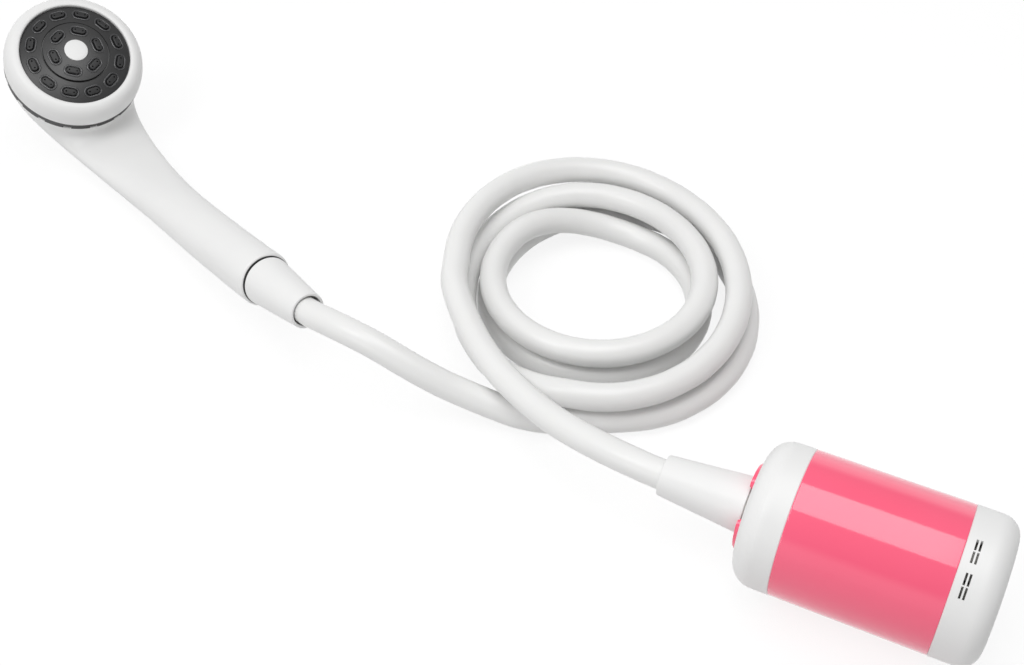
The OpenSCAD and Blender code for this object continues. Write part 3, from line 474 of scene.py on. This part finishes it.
hole = loft([pill(2 * nozzle_r, 2 * nozzle_r - 0.01, z) for z in (nozzle_low, nozzle_high)])
hole_places = [at @ Matrix.Translation((0, side * nozzle_gap / 2, 0))
               for at in pad_places for side in (-1, 1)]
carved(pads, ("DIFFERENCE", *gathered(hole_places, *hole), rim_frame, rubber))
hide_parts("nozzle_pads")

# Face cap: a small white ABS disc, pressed into a shallow recess in the middle of the spray face.
# It comes from the same kind of mould as the shells, so it has their satin finish.
dress(white_abs, "face_cap")

# Inside of the pump and hose ends: acetal mouldings in the water's way, and a black ABS chassis between the
# wet and the dry end, with cradles for the motor and the cell. The board is screwed up under the outlet cap.
# Hardly any of it shows from outside.
dress(black_abs, "chassis", "power_switch")
# Acetal left in its natural colour is a milky off-white with a waxy sheen.
acetal = surface("natural_acetal", "#DAD9D3", "#E4E3DD", (0.32, 0.42), 25, 0.7, 0.05, IOR=1.48,
                 Subsurface_Weight=0.05, Subsurface_Radius=(0.002, 0.002, 0.0018))
dress(acetal, "filter_screen", "volute", "impeller", "riser_tube", "outlet_spigot", "pump_barb", "head_barb")
# Nickel plating on drawn steel gives a cool grey mirror, blurred by the drawing.
plated_steel = surface("plated_steel", "#B4B5B6", "#C6C7C8", (0.22, 0.34), 17, 1.4, 0.04, Metallic=1.0)
dress(plated_steel, "motor", "motor_shaft", "board_screws", "charge_port")
# The cell's film is shrunk on with heat: a glossy teal with slow ripples.
shrink_film = surface("shrink_film", "#1F8A78", "#279684", (0.18, 0.28), 45, 8, 0.1, IOR=1.55,
                      Coat_Weight=0.4, Coat_Roughness=0.1)
dress(shrink_film, "battery_cell")
# Solder resist over glass cloth is a half-matt green that shows the weave as faint mottling.
board = surface("glass_fibre_board", "#1C5A34", "#24663C", (0.3, 0.42), 3.3, 1.1, 0.1, IOR=1.55)
dress(board, "circuit_board")

# Studio floor: matt pale paint, which throws the lamps' light back up at the set. To the eye it is mostly
# clear over the white world, and keeps a quarter of its paint near the set for the shadow. From below it is
# wholly clear, and it casts no shadow, so that a hand shower turned under it still shows.
floor_paint = surface("studio_floor", "#D4D4D4", "#D8D8D8", (0.9, 0.95), 500, 1.1, 0.0,
                      Specular_IOR_Level=0.0)


def seen_directly(tree):
    """1 where the camera looks, in the open, in a mirror or through glass, and 0 where light is gathered."""
    rays = add(tree, "LightPath").outputs
    seen = add(tree, "Math", {0: rays["Is Camera Ray"], 1: rays["Is Glossy Ray"]}, operation="MAXIMUM")
    seen = add(tree, "Math", {0: seen.outputs[0], 1: rays["Is Transmission Ray"]}, operation="MAXIMUM")
    return seen.outputs[0]


# The floor and the lamps are sized in metres.
veil_near, veil_far, clear_near, floor_half, floor_level = 0.5, 1.6, 0.75, 8, -0.0004
tree = floor_paint.node_tree
paint = tree.nodes["Principled BSDF"]
clear = add(tree, "BsdfTransparent")
away = add(tree, "VectorMath", {0: add(tree, "TexCoord").outputs["Object"]}, operation="LENGTH")
veil = add(tree, "MapRange", {"Value": away.outputs["Value"]}, From_Min=veil_near, From_Max=veil_far,
           To_Min=clear_near)
share = add(tree, "Math", {0: seen_directly(tree), 1: veil.outputs["Result"]}, operation="MULTIPLY")
from_below = add(tree, "NewGeometry").outputs["Backfacing"]
share = add(tree, "Math", {0: share.outputs[0], 1: from_below}, operation="MAXIMUM")
mix = add(tree, "MixShader", {0: share.outputs[0], 1: paint.outputs[0], 2: clear.outputs[0]})
tree.links.new(mix.outputs[0], tree.nodes["Material Output"].inputs["Surface"])
floor_mesh = bpy.data.meshes.new("floor")
floor_mesh.from_pydata([(x * floor_half, y * floor_half, floor_level)
                        for x, y in ((-1, -1), (1, -1), (1, 1), (-1, 1))], [], [(0, 1, 2, 3)])
floor = bpy.data.objects.new("floor", floor_mesh)
floor.data.materials.append(floor_paint)
bpy.context.scene.collection.objects.link(floor)
floor.visible_shadow = False

# Studio light: a soft white tent, brightest overhead to the left, and three softboxes. The long one over the
# pump gives the stripe on the polished sleeve, and the other two model the hand shower.
# To the eye the tent is plain white up to a little above the horizon, which makes the background.
tent_axis, tent_from, tent_dim, tent_bright = (-0.4, 0.3, 0.87), -0.3, 0.25, 0.66
horizon_low, white_to, white_gone = -0.02, 0.25, 0.45
# The white is a little over 1, because a quarter of the floor's duller paint lies over it.
background_white = 1.14
world = bpy.data.worlds.new("studio")
bpy.context.scene.world = world
world.use_nodes = True
tree = world.node_tree
sky = tree.nodes["Background"]
sky.inputs["Color"].default_value = (1, 1, 1, 1)
outward_ray = add(tree, "TexCoord").outputs["Generated"]
aim = add(tree, "VectorMath", {0: outward_ray}, operation="DOT_PRODUCT")
aim.inputs[1].default_value = tent_axis
glow = add(tree, "MapRange", {"Value": aim.outputs["Value"]}, From_Min=tent_from, From_Max=1.0,
           To_Min=tent_dim, To_Max=tent_bright)
height = add(tree, "SeparateXYZ", {0: outward_ray}).outputs["Z"]
above = add(tree, "MapRange", {"Value": height}, From_Min=horizon_low, From_Max=0.0)
light = add(tree, "Math", {0: glow.outputs["Result"], 1: above.outputs["Result"]}, operation="MULTIPLY")
band = add(tree, "MapRange", {"Value": height}, From_Min=white_to, From_Max=white_gone,
           To_Min=1.0, To_Max=0.0)
white_part = add(tree, "Math", {0: seen_directly(tree), 1: band.outputs["Result"]}, operation="MULTIPLY")
level = add(tree, "Mix", {"Factor": white_part.outputs[0], "A": light.outputs[0]}, B=background_white)
tree.links.new(level.outputs["Result"], sky.inputs["Strength"])


def softbox(name, stands, target, width, length, watts):
    """A rectangular area lamp in metres and watts, turned to its target."""
    data = bpy.data.lights.new(name, "AREA")
    data.shape = "RECTANGLE"
    data.size, data.size_y, data.energy = width, length, watts
    obj = bpy.data.objects.new(name, data)
    obj.location = stands
    obj.rotation_euler = (Vector(target) - Vector(stands)).to_track_quat("-Z", "Y").to_euler()
    bpy.context.scene.collection.objects.link(obj)
    return obj


strip = softbox("strip_softbox", (0.113, -0.11, 1.03), (0.113, -0.11, 0), 0.44, 0.8, 3.5)
strip.rotation_euler = (0, 0, pump_yaw)
softbox("key_softbox", (-0.54, -0.4, 1.0), (-0.15, 0.1, 0.03), 0.4, 0.4, 3.1)
softbox("front_softbox", (-0.8, -0.95, 0.4), (-0.19, 0.15, 0.06), 0.35, 0.35, 1.3)
